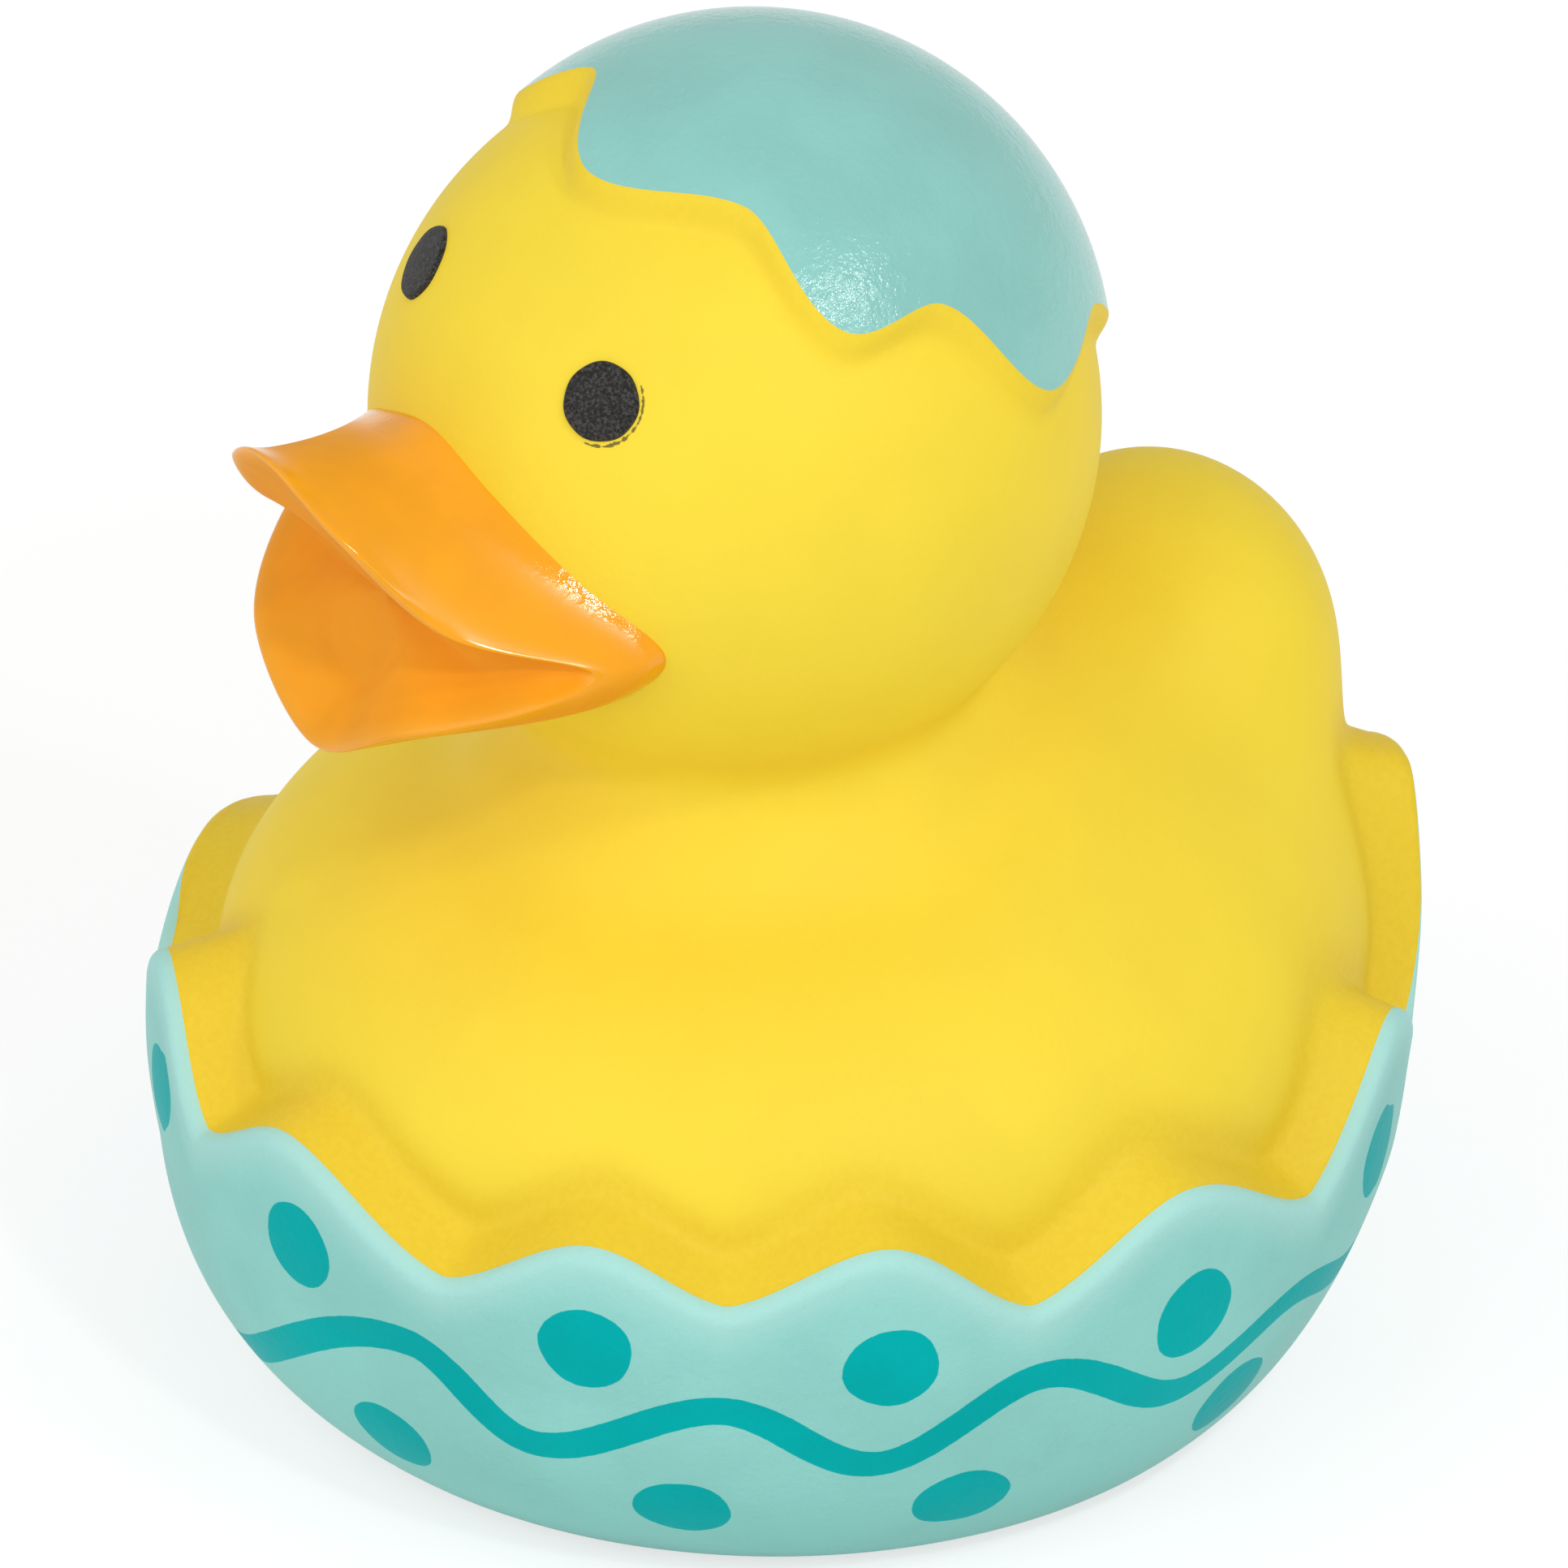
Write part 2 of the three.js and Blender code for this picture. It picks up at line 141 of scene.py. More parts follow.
# Bill: half loops from the top's middle round the mouth's corner to the bottom's
BILL_BASE = [
    [0, -18.1, 4.7], [5.2, -17.7, 3.1], [10.2, -15.6, -0.1], [13.4, -12.5, -4.0],
    [10.6, -13.2, -7.5], [5.5, -14.8, -9.9], [0, -15.0, -11.2],
]
BILL_MIDDLE = [
    [0, -22.8, 4.2], [5.2, -21.7, 2.7], [9.9, -18.6, -1.1], [13.6, -14.6, -4.0],
    [12.2, -16.6, -6.3], [7.0, -19.8, -9.1], [0, -20.8, -11.6],
]
BILL_LIP = [
    [0, -28.5, 6.3], [5.2, -27.1, 3.4], [9.2, -22.9, -1.8], [13.2, -16.6, -4.0],
    [12.0, -19.9, -5.6], [7.0, -24.7, -8.2], [0, -25.6, -11.7],
]
# Back of the mouth, and how far its walls sink towards it or swell at the corners
BILL_MOUTH = [0, -21.4, -3.8]
MOUTH_SINK = 1.2
CORNER_SWELL = 2.2
# Two round steps in the lower half: centre, radii and how far they rise
DISH_CENTRE = [0, -22.6, -5.4]
DISH_RADIUS = 3.4
DISH_INNER_RADIUS = 2.2
DISH_STEP = 0.28
BILL_ROOT_SINK = 1.2
BILL_LIP_THICKNESS = 1.1
# Eyes: directions from the head's centre, and the thin line round the left one
EYE_PLACES = [[9.1, -13.7, 9.2], [-6.9, -14.5, 10.0]]
MASK_RING_RADIUS = 2.26

# Print on the shell: azimuth, distance below the rim level along the shell, half
# width and half height of each dot
DOTS = [
    [8.8, 6.6, 2.4, 2.4], [40.3, 7.0, 2.5, 2.4], [68.3, 7.6, 2.5, 2.4],
    [99.4, 8.9, 2.5, 2.65], [130.2, 7.5, 2.4, 2.6], [160.0, 5.6, 2.4, 2.5],
    [190.0, 7.0, 2.5, 2.3], [220.5, 6.0, 2.4, 2.5], [250.0, 7.2, 2.4, 2.4],
    [280.0, 7.8, 2.5, 2.4], [310.5, 6.8, 2.4, 2.5], [340.6, 5.2, 2.3, 2.4],
    [17.7, 17.1, 2.4, 2.4], [49.3, 17.7, 2.5, 2.3], [77.4, 18.0, 2.6, 2.4],
    [110.3, 17.6, 2.5, 2.6], [141.0, 17.4, 2.4, 2.4], [172.0, 17.8, 2.5, 2.3],
    [203.0, 17.3, 2.4, 2.5], [233.0, 17.7, 2.5, 2.4], [263.0, 17.5, 2.5, 2.3],
    [294.0, 17.8, 2.4, 2.4], [325.0, 17.4, 2.5, 2.4],
]
# Wavy line: azimuth and distance below the rim level of each crest and trough
WAVE = [
    [22.0, 9.5, 35.2, 13.9], [52.9, 10.1, 67.8, 14.0], [83.0, 9.6, 100.5, 14.1],
    [115.0, 11.9, 131.0, 14.4], [146.0, 10.0, 161.0, 14.2], [176.0, 9.6, 191.0, 14.0],
    [206.0, 9.9, 221.0, 14.2], [236.0, 9.6, 251.0, 14.1], [266.0, 10.0, 281.0, 14.2],
    [296.0, 9.8, 311.0, 14.0], [326.0, 10.4, 346.0, 18.8],
]

# Mesh: columns, and the rows of each stretch
COLUMNS = 512
EDGE_ROWS = 5
LEDGE_ROWS = 12
BODY_ROWS = 71
NECK_ROWS = 9
HEAD_ROWS = 57
LIP_ROWS = 10
BILL_COLUMNS = 240
BILL_OUTER_ROWS = 34
BILL_TURN_ROWS = 7
BILL_INNER_ROWS = 26
EYE_COLUMNS = 96
EYE_FLAT_ROWS = 14
# Rows of the painted shade: where it is full up to the groove by the body, over how many it fades, and
# how many below the cap's edge get it
GROOVE_ROW = 1 + EDGE_ROWS + LEDGE_ROWS
SHADE_FADE_ROWS = 5.0
CAP_SHADE_ROWS = 12

# Stage: where each light stands, seen from the duck, its distance and sizes in metres
KEY_LIGHT = ((0.62, 0.155, 0.69), 0.6, 0.055, 0.055)
BILL_LIGHT = ((0.72, -0.13, 0.70), 0.6, 0.045, 0.045)
LIP_LIGHT = ((0.84, 0.19, 0.50), 0.6, 0.03, 0.2)
FRONT_LIGHT = ((0.1, -0.95, 0.6), 0.9, 0.9, 0.9)
LIGHTS_AIM = (0, 0, 0.035)
# How far the camera aims beside and above the middle of the rim, in millimetres
CAMERA_AIM_RIGHT = 0.3125
CAMERA_AIM_UP = 7.667


def heading(azimuth):
    """Unit vector of an azimuth: (sin a, -cos a, 0)."""
    a = np.radians(azimuth)
    return np.stack([np.sin(a), -np.cos(a), np.zeros_like(a)], -1)


def ease(t):
    """Smooth step from 0 to 1: t squared times (3 - 2 t)."""
    return t * t * (3 - 2 * t)


def mix(a, b, t):
    """Straight line from a to b."""
    return a + (b - a) * t


def ellipsoid(points, shape):
    """Nearness to an ellipsoid: k (k - 1) over the slope, with k the distance in radii."""
    offset = points - np.array(shape[0], float)
    radii = np.array(shape[1], float)
    k = np.linalg.norm(offset / radii, axis=-1)
    slope = np.linalg.norm(offset / radii**2, axis=-1) + 1e-6
    return k * (k - 1) / slope


def blend(a, b, size):
    """Union of two masses: the smaller distance, less a parabola where they are close."""
    h = np.clip(0.5 + 0.5 * (b - a) / size, 0, 1)
    return mix(b, a, h) - size * h * (1 - h)


def skin(points):
    """Nearness to the duck's outside, which is 0 on it and negative inside."""
    rump = blend(ellipsoid(points, RUMP), ellipsoid(points, TAIL), TAIL_BLEND)
    body = blend(ellipsoid(points, BODY), rump, RUMP_BLEND)
    neck = blend(body, ellipsoid(points, NECK), NECK_BLEND)
    head = ellipsoid(points, (HEAD_CENTRE, [HEAD_RADIUS] * 3))
    return blend(neck, head, HEAD_BLEND)


def meet_skin(origin, direction, near, far):
    """First crossing of the skin along each ray: half-millimetre steps, then halving."""
    origin, direction = np.broadcast_arrays(origin, direction)
    low = np.full(origin.shape[:-1], float(near))
    high = low.copy()
    going = np.ones(low.shape, bool)
    for _ in range(int((far - near) * 2) + 1):
        going = going & (skin(origin + direction * high[..., None]) < 0) & (high < far)
        low = np.where(going, high, low)
        high = np.where(going, high + 0.5, high)
    for _ in range(20):
        middle = (low + high) / 2
        inside = skin(origin + direction * middle[..., None]) < 0
        low = np.where(inside, middle, low)
        high = np.where(inside, high, middle)
    return origin + direction * high[..., None]


def teeth_at(teeth, azimuth, sharpness=0.0):
    """Toothed edge: eased from tip to notch, mixed with a quarter cosine that has
    a round tip and a pointed notch."""
    keys = np.array(teeth, float).reshape(-1, 2)
    keys = np.vstack([keys, keys[:1] + [360, 0]])
    angle = np.mod(azimuth - keys[0, 0], 360) + keys[0, 0]
    after = np.clip(np.searchsorted(keys[:, 0], angle), 1, len(keys) - 1)
    start, end = keys[after - 1], keys[after]
    share = (angle - start[..., 0]) / (end[..., 0] - start[..., 0])
    quarter = share * np.pi / 2
    pointed = np.where(after % 2 == 1, 1 - np.cos(quarter), np.sin(quarter))
    return mix(start[..., 1], end[..., 1], mix(ease(share), pointed, sharpness))


def rim_height(azimuth):
    """Height of the shell's cracked edge."""
    return RIM_LEVEL + teeth_at(SHELL_TEETH, azimuth, NOTCH_SHARPNESS)


def crease(azimuth):
    """Where the ledge inside the cracked edge meets the body."""
    teeth = teeth_at(SHELL_TEETH, azimuth, NOTCH_SHARPNESS)
    origin = np.zeros(azimuth.shape + (3,))
    origin[..., 2] = RIM_LEVEL + LEDGE_RISE + LEDGE_FOLLOWS_TEETH * teeth
    return meet_skin(origin, heading(azimuth), 20, 40)


def shell_radius(z):
    """Superellipse: radius times (1 - (height from the belly / reach)^p)^(1/p)."""
    k = np.abs(z - SHELL_BELLY) / SHELL_PROFILE_HEIGHT
    return SHELL_RADIUS * (1 - k**SHELL_PROFILE_POWER) ** (1 / SHELL_PROFILE_POWER)


def on_shell(azimuth, radius, z):
    """Point at a radius and height, on an axis that leans forward by half a sine low down
    and back by an eased step at the rim."""
    azimuth, radius, z = np.broadcast_arrays(azimuth, radius, z)
    points = heading(azimuth) * radius[..., None]
    share = np.clip(z / SHELL_LEAN_HEIGHT / 2, 0, 1)
    high = np.clip((z - RIM_LEVEL + 7) / 8, 0, 1)
    points[..., 1] += SHELL_LEAN_BACK * ease(high) - SHELL_LEAN * np.sin(np.pi * share)
    points[..., 2] = z
    return points


def corner_turn():
    """Angle at which the base's round corner is as steep as the shell's profile."""
    turn = np.linspace(0, np.pi / 2, 4001)
    z = BASE_CORNER * (1 - np.cos(turn))
    steep = np.arctan2(0.02, shell_radius(z + 0.01) - shell_radius(z - 0.01))
    return turn[np.argmax(turn >= steep)]


def all_round():
    """Azimuths of the columns."""
    return np.arange(COLUMNS) * (360 / COLUMNS)


def edge_rows(azimuth, share):
    """Rounded edge of the shell: a quarter circle from its side to its ledge."""
    turn = share * np.pi / 2
    z = rim_height(azimuth)[None, :] - EDGE_ROUND * (1 - np.sin(turn))
    return on_shell(azimuth[None, :], shell_radius(z) - EDGE_ROUND * (1 - np.cos(turn)), z)


def paint_turn(azimuth):
    """Share of the rounded edge that is painted: nearly all of it on the duck's left side,
    eased by the cosine to little on its right."""
    near = np.cos(np.radians(azimuth - NEAR_SIDE))
    return mix(*PAINTED_TURN, ease(np.clip((near + 0.25) / 0.2, 0, 1)))[None, :]


def shell_outside(azimuth):
    """Rows from the air hole over the flat base and round corner up to the paint's edge."""
    turn_end = corner_turn()
    corner_top = BASE_CORNER * (1 - math.cos(turn_end))
    flat = shell_radius(corner_top) - BASE_CORNER * math.sin(turn_end)
    hole = on_shell(azimuth[None, :], np.linspace(AIR_HOLE_RADIUS, flat * 0.96, 6)[:, None], 0.0)
    turn = np.linspace(0, turn_end, 9)[:-1, None]
    corner = on_shell(
        azimuth[None, :], flat + BASE_CORNER * np.sin(turn), BASE_CORNER * (1 - np.cos(turn))
    )
    z = mix(corner_top, rim_height(azimuth)[None, :] - EDGE_ROUND, np.linspace(0, 1, 60)[:, None])
    side = on_shell(azimuth[None, :], shell_radius(z), z)
    edge = edge_rows(azimuth, np.linspace(0, 1, 6)[1:, None] * paint_turn(azimuth))
    return np.concatenate([hole, corner, side, edge])


def shell_inside(azimuth, wall):
    """Rows down the shell's inside, one wall in from its outside, to the air hole."""
    turn_end = corner_turn()
    corner_top = BASE_CORNER * (1 - math.cos(turn_end))
    top = rim_height(azimuth)[None, :] - wall
    z = mix(top, corner_top + wall, np.linspace(0, 1, 10)[:, None])
    side = on_shell(azimuth[None, :], shell_radius(z) - wall, z)
    flat = shell_radius(corner_top) - BASE_CORNER * math.sin(turn_end)
    radius = np.array([flat, AIR_HOLE_RADIUS])[:, None]
    return np.concatenate([side, on_shell(azimuth[None, :], radius, wall)])


def print_distance(azimuth, below):
    """Distance in millimetres outside the printed dots and the wavy line."""
    around = np.radians(azimuth) * SHELL_RADIUS
    full_turn = 2 * np.pi * SHELL_RADIUS
    nearest = np.full(below.shape, 99.0)
    for i, (dot_azimuth, dot_below, half_width, half_height) in enumerate(DOTS):
        across = around - math.radians(dot_azimuth) * SHELL_RADIUS
        across = across - full_turn * np.round(across / full_turn)
        across = across * shell_radius(RIM_LEVEL - dot_below) / SHELL_RADIUS
        down = below - dot_below
        angle = np.arctan2(down, across)
        wobble = 1 + 0.015 * np.cos(3 * angle + 1.7 * i) + 0.01 * np.cos(5 * angle + 2.3 * i)
        reach = np.hypot(across / half_width, down / half_height) / wobble
        nearest = np.minimum(nearest, (reach - 1) * half_height)
    wave = teeth_at(WAVE, azimuth)
    step = 0.5
    rise = (teeth_at(WAVE, azimuth + step) - teeth_at(WAVE, azimuth - step)) / (2 * step)
    slope = rise / math.radians(1) / (SHELL_RADIUS * 0.93)
    half_line = bpy.context.scene.duck_print.line_width / MM / 2
    line = np.abs(below - wave) / np.sqrt(1 + slope**2) - half_line
    return np.minimum(nearest, line)


def body_eye(azimuth):
    """Point of each half plane, out and up, from which its body profile is seen whole."""
    rear = np.maximum(0, -np.cos(np.radians(azimuth)))
    weight = ease(np.clip((rear - 0.5) / 0.5, 0, 1))
    return mix(10, 20.5, weight), mix(RIM_LEVEL + 1, RIM_LEVEL + 8.5, weight)


def shoulder(azimuth):
    """Ring just outside the neck, met from below."""
    origin = heading(azimuth) * SHOULDER_RADIUS + np.array([0, HEAD_BACK, RIM_LEVEL + 4])
    return meet_skin(origin, np.array([0, 0, 1.0]), 0, 15)


def body_rows(azimuth, start, end, share):
    """Body rows: rays that turn evenly from the crease to the shoulder in each half plane."""
    out, up = body_eye(azimuth)
    ahead = heading(azimuth)
    sideways = np.stack([ahead[..., 1], -ahead[..., 0], np.zeros_like(azimuth)], -1)
    first = np.arctan2(start[..., 2] - up, (start * ahead).sum(-1) - out)
    last = np.arctan2(end[..., 2] - up, (end * ahead).sum(-1) - out)
    angle = mix(first[None, :], last[None, :], share[:, None])
    drift = (end * sideways).sum(-1)[None, :] * share[:, None]
    origin = (ahead * out[:, None])[None] + sideways[None] * drift[..., None]
    origin[..., 2] = up[None, :]
    direction = ahead[None] * np.cos(angle)[..., None]
    direction[..., 2] = np.sin(angle)
    return meet_skin(origin, direction, 0.5, 40)


def head_ray(azimuth, angle, lean):
    """Direction from the head's centre at an angle from an axis that leans back."""
    ahead = heading(azimuth)
    s, c = np.sin(np.radians(angle)), np.cos(np.radians(angle))
    y = ahead[..., 1] * s
    t = np.radians(lean)
    x = ahead[..., 0] * s
    return np.stack([x, y * np.cos(t) + c * np.sin(t), c * np.cos(t) - y * np.sin(t)], -1)


def on_head(azimuth, angle, lean):
    """Point of the skin along a ray from the head's centre."""
    return meet_skin(HEAD_CENTRE, head_ray(azimuth, angle, lean), 10, 30)


def on_cap(azimuth, angle, inset=0.0):
    """Point of the cap's sphere, whose centre is offset along the leaning axis."""
    s, c = np.sin(np.radians(angle)), np.cos(np.radians(angle))
    reach = CAP_OFFSET * c + np.sqrt(CAP_RADIUS**2 - (CAP_OFFSET * s) ** 2) - inset
    return HEAD_CENTRE + head_ray(azimuth, angle, CAP_TILT) * reach[..., None]


def soften(rows, middle, spread, passes):
    """Round fillet: rows near the middle one move to the mean of their neighbours."""
    span = slice(middle - spread, middle + spread + 1)
    before = slice(middle - spread - 1, middle + spread)
    after = slice(middle - spread + 1, middle + spread + 2)
    for _ in range(passes):
        rows[span] = (rows[before] + 2 * rows[span] + rows[after]) / 4
    return rows


def duck_outside(azimuth):
    """Rows from the shell's painted edge over ledge, body, neck and head to the cap's edge."""
    turn = mix(paint_turn(azimuth), 1, np.linspace(0, 1, EDGE_ROWS)[:, None])
    edge = edge_rows(azimuth, turn)
    inner = crease(azimuth)
    ledge = mix(edge[-1][None], inner[None], np.linspace(0, 1, LEDGE_ROWS + 1)[1:, None, None])
    end = shoulder(azimuth)
    body = body_rows(azimuth, inner, end, np.linspace(0, 1, BODY_ROWS + 2)[1:-1])
    z = mix(end[..., 2][None], HEAD_START, np.linspace(0, 1, NECK_ROWS + 2)[1:-1, None])
    origin = np.zeros(z.shape + (3,))
    origin[..., 1] = HEAD_BACK
    origin[..., 2] = z
    neck = meet_skin(origin, heading(azimuth)[None], 2, 30)
    start_angle = 180 - math.degrees(math.acos((HEAD_HEIGHT - HEAD_START) / HEAD_RADIUS))
    teeth = teeth_at(CAP_TEETH, azimuth)[None, :]
    share = np.linspace(0, 1, HEAD_ROWS)[:, None]
    head = on_head(azimuth[None, :], mix(start_angle, teeth + CAP_LIP, share), CAP_TILT * share)
    low = on_head(azimuth[None, :], teeth + CAP_LIP * 0.6, CAP_TILT * np.ones((1, 1)))
    t = np.linspace(0, 1, LIP_ROWS + 1)[1:, None, None]
    top = on_cap(azimuth[None, :], teeth)
    over = on_cap(azimuth[None, :], teeth + CAP_OVERHANG, CAP_INSET)
    lip = head[-1] * (1 - t) ** 3 + low * 3 * t * (1 - t) ** 2 + over * 3 * t**2 * (1 - t) + top * t**3
    rows = np.concatenate([edge, ledge, body, end[None], neck, head, lip])
    rows = soften(rows, len(edge) + len(ledge) - 1, 4, 6)
    return soften(rows, len(edge) - 1, 2, 1)


def material_object(name, mesh, *materials):
    """Object at the origin that rides the root body and stands for the duck's solid."""
    for material in materials:
        mesh.materials.append(material)
    piece = bpy.data.objects.new(name, mesh)
    bpy.context.scene.collection.objects.link(piece)
    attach(piece, "root")
    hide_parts("duck")
    return piece


def closed_surface(name, rows, poles=None, sharp=()):
    """Closed smooth mesh from rows of points. Poles close its first and last rows; without
    them the last row joins the first. Rows in sharp keep a hard edge."""
    count, columns = rows.shape[:2]
    index = np.arange(count * columns).reshape(count, columns)
    lower = index if poles is None else index[:-1]
    upper = np.roll(index, -1, 0) if poles is None else index[1:]
    corners = [lower, np.roll(lower, -1, 1), np.roll(upper, -1, 1), upper]
    faces = np.stack(corners, -1).reshape(-1, 4).tolist()
    points = rows.reshape(-1, 3)
    if poles is not None:
        first, last = len(points), len(points) + 1
        points = np.vstack([points, poles[0], poles[1]])
        row = index[0]
        faces += np.stack([np.roll(row, -1), row, np.full(columns, first)], -1).tolist()
        row = index[-1]
        faces += np.stack([row, np.roll(row, -1), np.full(columns, last)], -1).tolist()
    mesh = bpy.data.meshes.new(name)
    mesh.from_pydata(points * MM, [], faces)
    mesh.polygons.foreach_set("use_smooth", np.ones(len(mesh.polygons), bool))
    ends = np.zeros(len(mesh.edges) * 2, np.int32)
    mesh.edges.foreach_get("vertices", ends)
    row_of = ends.reshape(-1, 2) // columns
    hard = np.zeros(len(mesh.edges), bool)
    for row in sharp:
        hard |= (row_of == row % count).all(1)
    mesh.edges.foreach_set("use_edge_sharp", hard)
    mesh.update()
    mesh.validate()
    return mesh


def store(mesh, name, values):
    """Keeps one number for each point of the mesh."""
    padded = np.zeros(len(mesh.vertices), np.float32)
    padded[: values.size] = values.ravel()
    mesh.attributes.new(name, "FLOAT", "POINT").data.foreach_set("value", padded)


def loop_points(half, share):
    """Closed centripetal Catmull-Rom curve through a half loop and its mirror image."""
    half = np.array(half, float)
    points = np.vstack([half, (half[1:-1] * [-1, 1, 1])[::-1]])
    along = share * len(points)
    whole = np.floor(along).astype(int)
    w = (along - whole)[:, None]
    p = [points[(whole + k) % len(points)] for k in (-1, 0, 1, 2)]
    gap = [np.sqrt(np.linalg.norm(p[k + 1] - p[k], axis=1))[:, None] for k in range(3)]
    start = (p[1] - p[0]) / gap[0] - (p[2] - p[0]) / (gap[0] + gap[1]) + (p[2] - p[1]) / gap[1]
    end = (p[2] - p[1]) / gap[1] - (p[3] - p[1]) / (gap[1] + gap[2]) + (p[3] - p[2]) / gap[2]
    start, end = start * gap[1], end * gap[1]
    cubic = 2 * p[1] - 2 * p[2] + start + end
    square = -3 * p[1] + 3 * p[2] - 2 * start - end
    return ((cubic * w + square) * w + start) * w + p[1]


def bill_rows():
    """Bill: each column is a parabola from root through middle to lip, a round lip,
    and a way back into the mouth that sinks by half a sine, or swells at the corners. The
    lower half has two round steps about the dish's centre."""
    share = 1 - np.arange(BILL_COLUMNS) / BILL_COLUMNS
    base, middle, lip = (loop_points(h, share)[None] for h in (BILL_BASE, BILL_MIDDLE, BILL_LIP))
    mouth = np.array(BILL_MOUTH, float)
    peak = 2 * middle - (base + lip) / 2
    s = np.linspace(0, 0.955, BILL_OUTER_ROWS)[:, None, None]
    outer = base * (1 - s) ** 2 + peak * 2 * s * (1 - s) + lip * s**2
    towards = mouth - lip
    length = np.linalg.norm(towards, axis=-1, keepdims=True)
    s = np.linspace(0, 0.97, BILL_INNER_ROWS)[:, None, None]
    inner = lip + towards * mix(BILL_LIP_THICKNESS / length, 1, s)
    points = 2 * len(BILL_BASE) - 2
    corner = np.abs(np.mod(share, 1) - 0.5)[None] * points - points / 4
    near_corner = np.exp(-((corner / 0.8) ** 2))
    sink = mix(MOUTH_SINK, -CORNER_SWELL, near_corner)
    inner[..., 1] += sink * (np.sin(np.pi * s) * (1 - s))[..., 0]
    out = np.linalg.norm(inner - np.array(DISH_CENTRE), axis=-1)
    outer_step = 1 / (1 + np.exp((out - DISH_RADIUS) / 0.16))
    inner_step = 0.6 / (1 + np.exp((out - DISH_INNER_RADIUS) / 0.14))
    inner[..., 1] += DISH_STEP * (outer_step + inner_step) * (inner[..., 2] < BILL_MOUTH[2])
    t = np.linspace(0, 1, BILL_TURN_ROWS + 2)[1:-1, None, None]
    tip = lip + (lip - outer[-1:]) * 0.35
    turn = outer[-1:] * (1 - t) ** 2 + tip * 2 * t * (1 - t) + inner[:1] * t**2
    root = base * (1 - BILL_ROOT_SINK / HEAD_RADIUS)
    rows = np.concatenate([root, outer, turn, inner]) + HEAD_CENTRE
    first = (loop_points(BILL_BASE, np.array([0.0, 0.5])).mean(0) * 0.86) * [0, 1, 1]
    return rows, (first + HEAD_CENTRE, mouth + HEAD_CENTRE)


def eye_rows(place, radius, height):
    """Eye: a low disc that follows the head's sphere, with a round edge. Its outline
    wavers a little, as brushed paint does."""
    out = Vector(place).normalized()
    across = Vector((0, 0, 1)).cross(out).normalized()
    upward = np.array(out.cross(across))
    angle = np.arange(EYE_COLUMNS) * (2 * np.pi / EYE_COLUMNS)
    wobble = 1 + 0.012 * np.cos(3 * angle + 1) + 0.008 * np.cos(7 * angle)
    round_turn = np.linspace(0, np.pi / 2, 6)
    flat = np.linspace(0.1, 0.93, EYE_FLAT_ROWS)
    edge = 0.93 + 0.07 * np.sin(round_turn[1:])
    reach = np.concatenate([[1.0], edge[::-1], flat[::-1]])[:, None] * radius * wobble[None, :]
    falling = (height * np.cos(round_turn[1:]))[::-1]
    lift = np.concatenate([[-1.0], falling, np.full(EYE_FLAT_ROWS, height)])
    tall = np.sqrt(HEAD_RADIUS**2 - reach**2) + lift[:, None]
    flat_part = np.cos(angle)[:, None] * np.array(across) + np.sin(angle)[:, None] * upward
    rows = reach[..., None] * flat_part[None] + tall[..., None] * np.array(out) + HEAD_CENTRE
    axis = np.array(out)
    poles = (axis * (HEAD_RADIUS - 1.5) + HEAD_CENTRE, axis * (HEAD_RADIUS + height) + HEAD_CENTRE)
    return rows, poles


class Shade:
    """An output of a shader node, on which Python's operators add Math nodes."""

    def __init__(self, tree, socket=None):
        self.tree = tree
        self.socket = socket

    def node(self, kind, settings=None, inputs=None, output=0):
        """Adds a node: its settings first, then the values or links of its sockets."""
        made = self.tree.nodes.new(kind)
        for name, value in (settings or {}).items():
            setattr(made, name, value)
        for name, value in (inputs or {}).items():
            if isinstance(value, Shade):
                self.tree.links.new(value.socket, made.inputs[name])
            else:
                made.inputs[name].default_value = value
        return Shade(self.tree, made.outputs[output])

    def maths(self, operation, first, second=0.0, third=0.0):
        """One Math node on numbers or outputs."""
        return self.node("ShaderNodeMath", {"operation": operation}, {0: first, 1: second, 2: third})

    def __add__(self, other):
        return self.maths("ADD", self, other)

    def __sub__(self, other):
        return self.maths("SUBTRACT", self, other)

    def __rsub__(self, other):
        return self.maths("SUBTRACT", other, self)

    def __mul__(self, other):
        return self.maths("MULTIPLY", self, other)

    def __truediv__(self, other):
        return self.maths("DIVIDE", self, other)

    __radd__ = __add__
    __rmul__ = __mul__

    def step(self, low, high):
        """0 below low and 1 above high, eased between them."""
        inputs = {"Value": self, "From Min": low, "From Max": high}
        return self.node("ShaderNodeMapRange", {"interpolation_type": "SMOOTHSTEP"}, inputs)


def mixed(a, b, share):
    """Colour between two colours, each a value or an output, at a linked share."""
    return share.node(
        "ShaderNodeMix", {"data_type": "RGBA"}, {0: share, 6: a, 7: b}, output=2
    )


def linear(colour):
    """Display colour from 0 to 1 as the linear colour of a shader, with alpha."""
    c = np.array(colour[:3], float)
    value = np.where(c <= 0.04045, c / 12.92, ((c + 0.055) / 1.055) ** 2.4)
    return (*value.tolist(), 1.0)


def toned(colour, factor):
    """Linear colour made lighter or darker."""
    value = np.clip(np.array(linear(colour)[:3]) * factor, 0, 1)
    return (*value.tolist(), 1.0)


def new_material(name, constants):
    """Material whose Principled shader has its constants set, and a start for its nodes."""
    material = bpy.data.materials.new(name)
    material.use_nodes = True
    tree = material.node_tree
    shader = tree.nodes["Principled BSDF"]
    for socket, value in constants.items():
        shader.inputs[socket].default_value = value
    return material, shader, Shade(tree)


def noise(start, scale, detail=2.0, roughness=0.5):
    """Noise on object coordinates, with scale in features to the metre."""
    place = start.node("ShaderNodeTexCoord", output=3)
    inputs = {"Vector": place, "Scale": scale, "Detail": detail, "Roughness": roughness}
    return start.node("ShaderNodeTexNoise", None, inputs)


